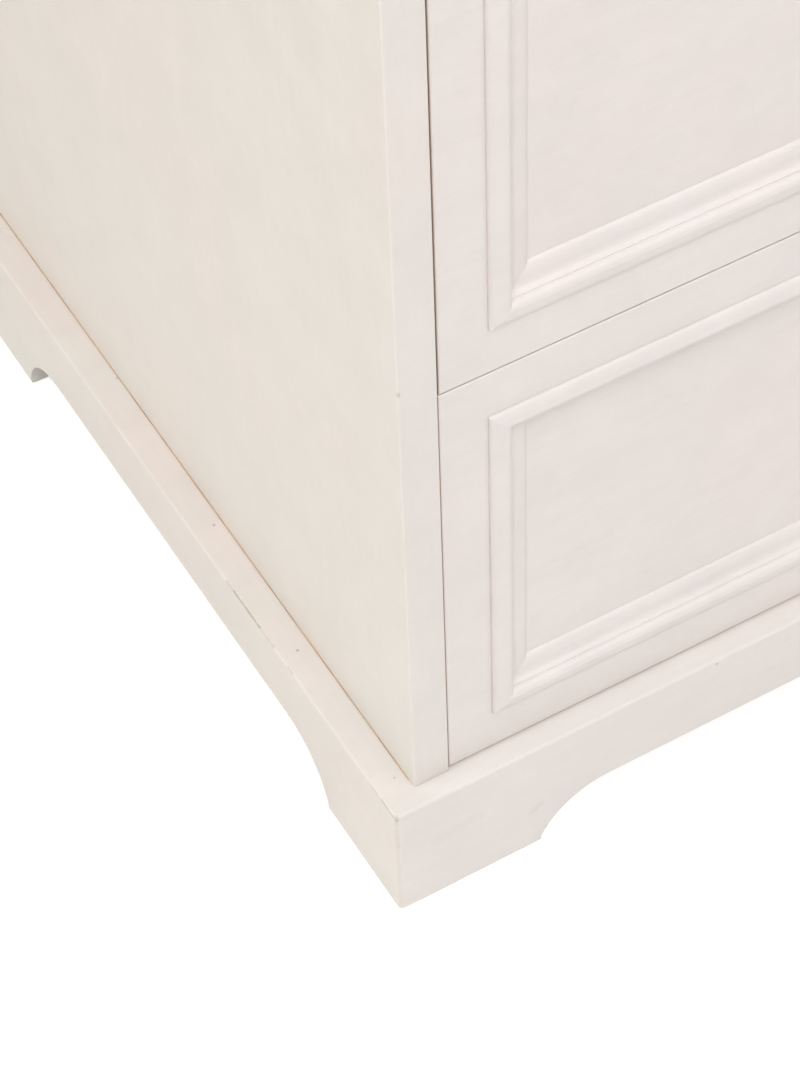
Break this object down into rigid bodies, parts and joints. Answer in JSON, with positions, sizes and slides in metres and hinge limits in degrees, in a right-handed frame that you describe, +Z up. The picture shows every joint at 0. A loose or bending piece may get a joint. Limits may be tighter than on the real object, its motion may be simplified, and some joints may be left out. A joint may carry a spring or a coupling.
{
  "type": "armoire",
  "caption": "Painted armoire with inset moulded doors over full-width drawers, a bracket-foot plinth, a hanging rail, a shelf and a cornice.",
  "frame": {"origin": "on the floor, at the middle of the outline that the cap board makes on plan", "axes": "+X along the front, towards the right-hand door; +Y from the front to the back; +Z up"},
  "size_m": [1.109, 0.583, 1.93],
  "materials": {
    "painted_wood": "satin off-white paint, lightly worn",
    "inner_paint": "thin eggshell off-white paint",
    "bare_pine": "bare sawn softwood",
    "birch": "clear-sealed birch",
    "birch_ply": "clear-sealed birch plywood",
    "nickel": "satin nickel plate",
    "steel": "satin nickel-plated steel",
    "zinc_steel": "bright zinc plate"
  },
  "bodies": {
    "carcass": {"side_left": "painted_wood", "side_right": "painted_wood", "bottom_deck": "inner_paint", "middle_deck": "inner_paint", "top_panel": "inner_paint", "drawer_divider_rail": "painted_wood", "frieze_rail": "painted_wood", "back_panel": "inner_paint", "plinth_front": "painted_wood", "plinth_left": "painted_wood", "plinth_right": "painted_wood", "plinth_back": "bare_pine", "plinth_blocks": "bare_pine", "cornice_front": "painted_wood", "cornice_left": "painted_wood", "cornice_right": "painted_wood", "cap_board": "painted_wood", "shelf": "inner_paint", "shelf_pins": "steel", "hanging_rail": "steel", "rail_sockets": "steel", "slide_outer_channels": "zinc_steel", "hinge_leaves_carcass": "nickel", "hinge_screws_carcass": "nickel", "hinge_pins": "nickel"},
    "drawer_lower": {"drawer_lower_frame": "painted_wood", "drawer_lower_panel": "painted_wood", "drawer_lower_moulding": "painted_wood", "drawer_lower_box_front": "birch", "drawer_lower_box_sides": "birch", "drawer_lower_box_back": "birch", "drawer_lower_box_bottom": "birch_ply", "drawer_lower_knobs": "nickel", "drawer_lower_knob_screws": "steel", "drawer_lower_slide_inner": "zinc_steel"},
    "drawer_lower_slides": {"drawer_lower_slide_middle": "zinc_steel"},
    "drawer_upper": {"drawer_upper_frame": "painted_wood", "drawer_upper_panel": "painted_wood", "drawer_upper_moulding": "painted_wood", "drawer_upper_box_front": "birch", "drawer_upper_box_sides": "birch", "drawer_upper_box_back": "birch", "drawer_upper_box_bottom": "birch_ply", "drawer_upper_knobs": "nickel", "drawer_upper_knob_screws": "steel", "drawer_upper_slide_inner": "zinc_steel"},
    "drawer_upper_slides": {"drawer_upper_slide_middle": "zinc_steel"},
    "door_left": {"door_left_frame": "painted_wood", "door_left_panel": "painted_wood", "door_left_moulding": "painted_wood", "door_left_knob": "nickel", "door_left_hinge_leaves": "nickel", "door_left_screws": "nickel"},
    "door_right": {"door_right_frame": "painted_wood", "door_right_panel": "painted_wood", "door_right_moulding": "painted_wood", "door_right_knob": "nickel", "door_right_hinge_leaves": "nickel", "door_right_screws": "nickel"}
  },
  "joints": [
    {"name": "door_left_hinge", "type": "hinge", "parent": "carcass", "child": "door_left", "pos_m": [-0.48675, -0.2511, 1.258], "axis": [0, 0, -1], "range_deg": [0, 165]},
    {"name": "door_right_hinge", "type": "hinge", "parent": "carcass", "child": "door_right", "pos_m": [0.48675, -0.2511, 1.258], "axis": [0, 0, 1], "range_deg": [0, 165]},
    {"name": "drawer_lower_pull", "type": "slide", "parent": "carcass", "child": "drawer_lower", "axis": [0, -1, 0], "range_m": [0, 0.4]},
    {"name": "drawer_lower_slide_run", "type": "slide", "parent": "carcass", "child": "drawer_lower_slides", "axis": [0, -1, 0], "range_m": [0, 0.2]},
    {"name": "drawer_upper_pull", "type": "slide", "parent": "carcass", "child": "drawer_upper", "axis": [0, -1, 0], "range_m": [0, 0.4]},
    {"name": "drawer_upper_slide_run", "type": "slide", "parent": "carcass", "child": "drawer_upper_slides", "axis": [0, -1, 0], "range_m": [0, 0.2]}
  ],
  "couplings": [
    {"joint": "drawer_lower_slide_run", "follows": "drawer_lower_pull", "ratio": 0.5},
    {"joint": "drawer_upper_slide_run", "follows": "drawer_upper_pull", "ratio": 0.5}
  ]
}
